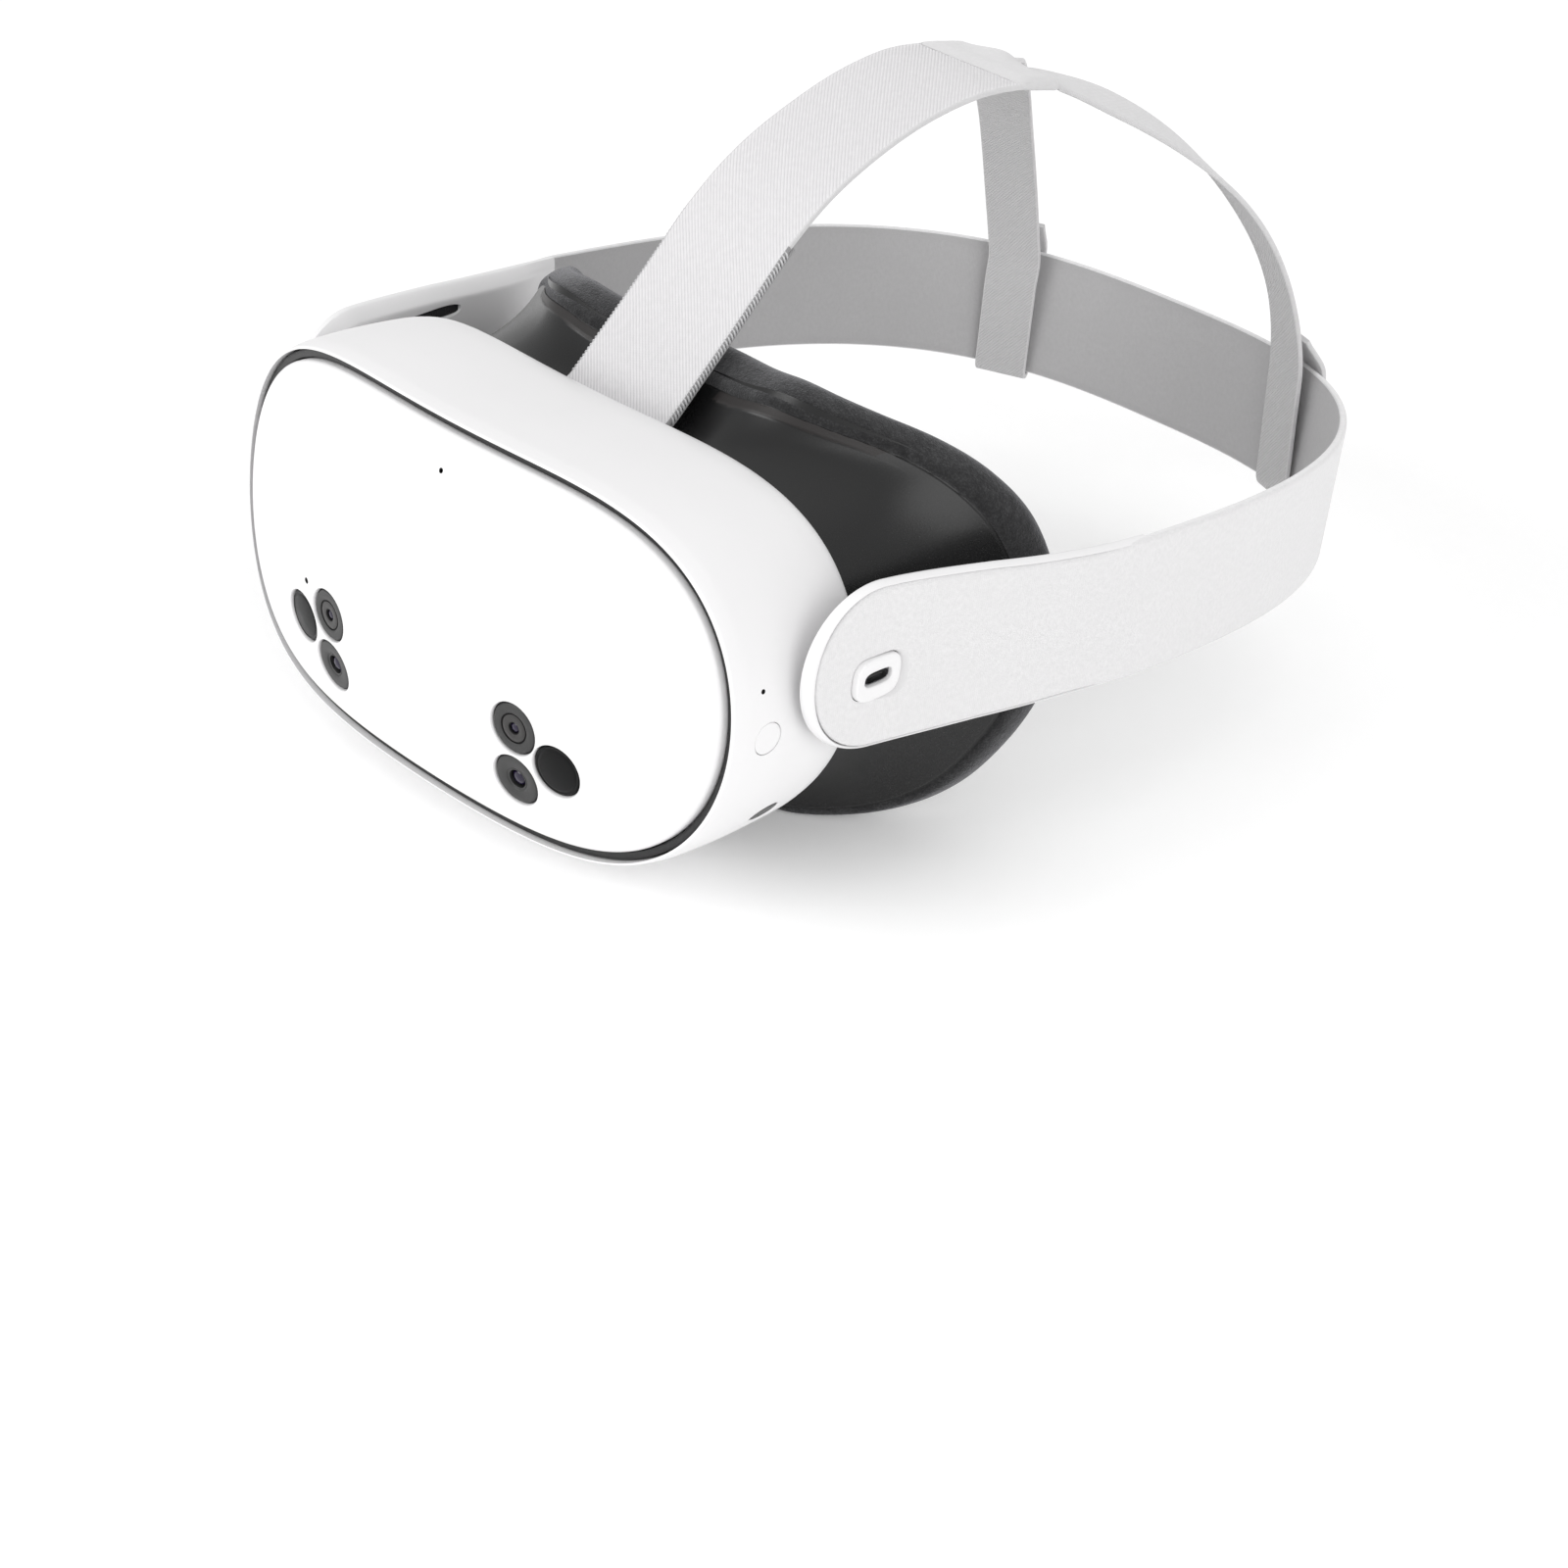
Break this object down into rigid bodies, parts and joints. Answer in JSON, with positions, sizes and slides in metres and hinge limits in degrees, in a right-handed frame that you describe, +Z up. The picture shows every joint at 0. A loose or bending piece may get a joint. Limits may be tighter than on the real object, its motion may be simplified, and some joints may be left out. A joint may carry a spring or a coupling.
{
  "type": "virtual reality headset",
  "caption": "Standalone head-mounted display with tilting side strap arms, elastic head band, split top strap, removable face cushion and sliding lens carriages.",
  "frame": {"origin": "centre of the flat on the visor's underside", "axes": "-Y is the front of the visor, +Y points to the back of the wearer's head, +X is the wearer's left, +Z up"},
  "size_m": [0.231, 0.3076, 0.1729],
  "materials": {
    "white_shell": "satin moulded white",
    "black_gloss": "gloss black",
    "dark_satin": "satin dark grey",
    "foam_fabric": "brushed dark grey fabric over foam",
    "strap_fabric": "fine heather near-white knit",
    "ribbed_webbing": "light grey ribbed elastic",
    "lens_glass": "coated",
    "steel": "bright",
    "circuit_board": "solder mask",
    "aluminium_sheet": "rolled",
    "battery_wrap": "wrapped cell"
  },
  "bodies": {
    "visor": {"faceplate": "white_shell", "mid_frame": "black_gloss", "visor_housing": "white_shell", "camera_bezel_left_upper": "dark_satin", "camera_bezel_left_lower": "dark_satin", "camera_bezel_right_upper": "dark_satin", "camera_bezel_right_lower": "dark_satin", "camera_lens_left_upper": "lens_glass", "camera_lens_left_lower": "lens_glass", "camera_lens_right_upper": "lens_glass", "camera_lens_right_lower": "lens_glass", "ir_window_left": "black_gloss", "ir_window_right": "black_gloss", "status_led": "lens_glass", "dock_contact_pad": "black_gloss", "battery_pack": "battery_wrap", "heat_spreader": "aluminium_sheet", "mainboard": "circuit_board", "fan_housing": "dark_satin", "display_panel": "lens_glass", "display_frame": "dark_satin", "ipd_rail_upper": "steel", "ipd_rail_lower": "steel", "lens_bay_cover": "dark_satin", "cover_screw_1": "steel", "cover_screw_2": "steel", "cover_screw_3": "steel", "cover_screw_4": "steel", "pivot_pin_left": "steel", "pivot_pin_right": "steel", "top_strap_front": "ribbed_webbing", "strap_tail": "ribbed_webbing", "strap_anchor_bar": "dark_satin"},
    "facial_interface": {"interface_frame": "dark_satin", "face_foam": "foam_fabric"},
    "strap_assembly": {"arm_left": "white_shell", "arm_cover_left": "strap_fabric", "speaker_left": "black_gloss", "port_collar": "white_shell", "port_shell": "steel", "port_tongue": "black_gloss", "side_band": "strap_fabric", "band_loop_left": "ribbed_webbing", "band_loop_right": "ribbed_webbing", "split_patch": "ribbed_webbing", "strap_leg_left": "ribbed_webbing", "strap_leg_right": "ribbed_webbing"},
    "right_arm": {"arm_right": "white_shell", "arm_cover_right": "strap_fabric", "speaker_right": "black_gloss"},
    "power_key": {"power_button": "white_shell"},
    "volume_key": {"volume_rocker": "white_shell"},
    "action_key": {"action_button": "white_shell"},
    "fan_impeller": {"fan_rotor": "dark_satin"},
    "lens_carriage_left": {"lens_barrel_left": "dark_satin", "eye_lens_left": "lens_glass"},
    "lens_carriage_right": {"lens_barrel_right": "dark_satin", "eye_lens_right": "lens_glass"}
  },
  "joints": [
    {"name": "strap_tilt", "type": "hinge", "parent": "visor", "child": "strap_assembly", "pos_m": [0, 0.031, 0.0606], "axis": [1, 0, 0], "range_deg": [-12, 15]},
    {"name": "right_arm_tilt", "type": "hinge", "parent": "visor", "child": "right_arm", "pos_m": [0, 0.031, 0.0606], "axis": [1, 0, 0], "range_deg": [-12.5, 15.5]},
    {"name": "interface_release", "type": "slide", "parent": "visor", "child": "facial_interface", "axis": [0, 1, 0], "range_m": [0, 0.04]},
    {"name": "power_press", "type": "slide", "parent": "visor", "child": "power_key", "axis": [-1, 0, 0], "range_m": [0, 0.0006]},
    {"name": "volume_rock", "type": "hinge", "parent": "visor", "child": "volume_key", "pos_m": [0.046, 0.004, 0.0022], "axis": [0, 1, 0], "range_deg": [-3, 3]},
    {"name": "action_press", "type": "slide", "parent": "visor", "child": "action_key", "axis": [0, 0, 1], "range_m": [0, 0.0006]},
    {"name": "fan_spin", "type": "hinge", "parent": "visor", "child": "fan_impeller", "pos_m": [0.048, -0.0144, 0.0626], "axis": [0, 1, 0], "continuous": true},
    {"name": "lens_left_slide", "type": "slide", "parent": "visor", "child": "lens_carriage_left", "axis": [1, 0, 0], "range_m": [-0.0025, 0.0025]},
    {"name": "lens_right_slide", "type": "slide", "parent": "visor", "child": "lens_carriage_right", "axis": [1, 0, 0], "range_m": [-0.0026, 0.0026]}
  ],
  "couplings": [
    {"joint": "right_arm_tilt", "follows": "strap_tilt", "ratio": 1},
    {"joint": "lens_right_slide", "follows": "lens_left_slide", "ratio": -1}
  ]
}
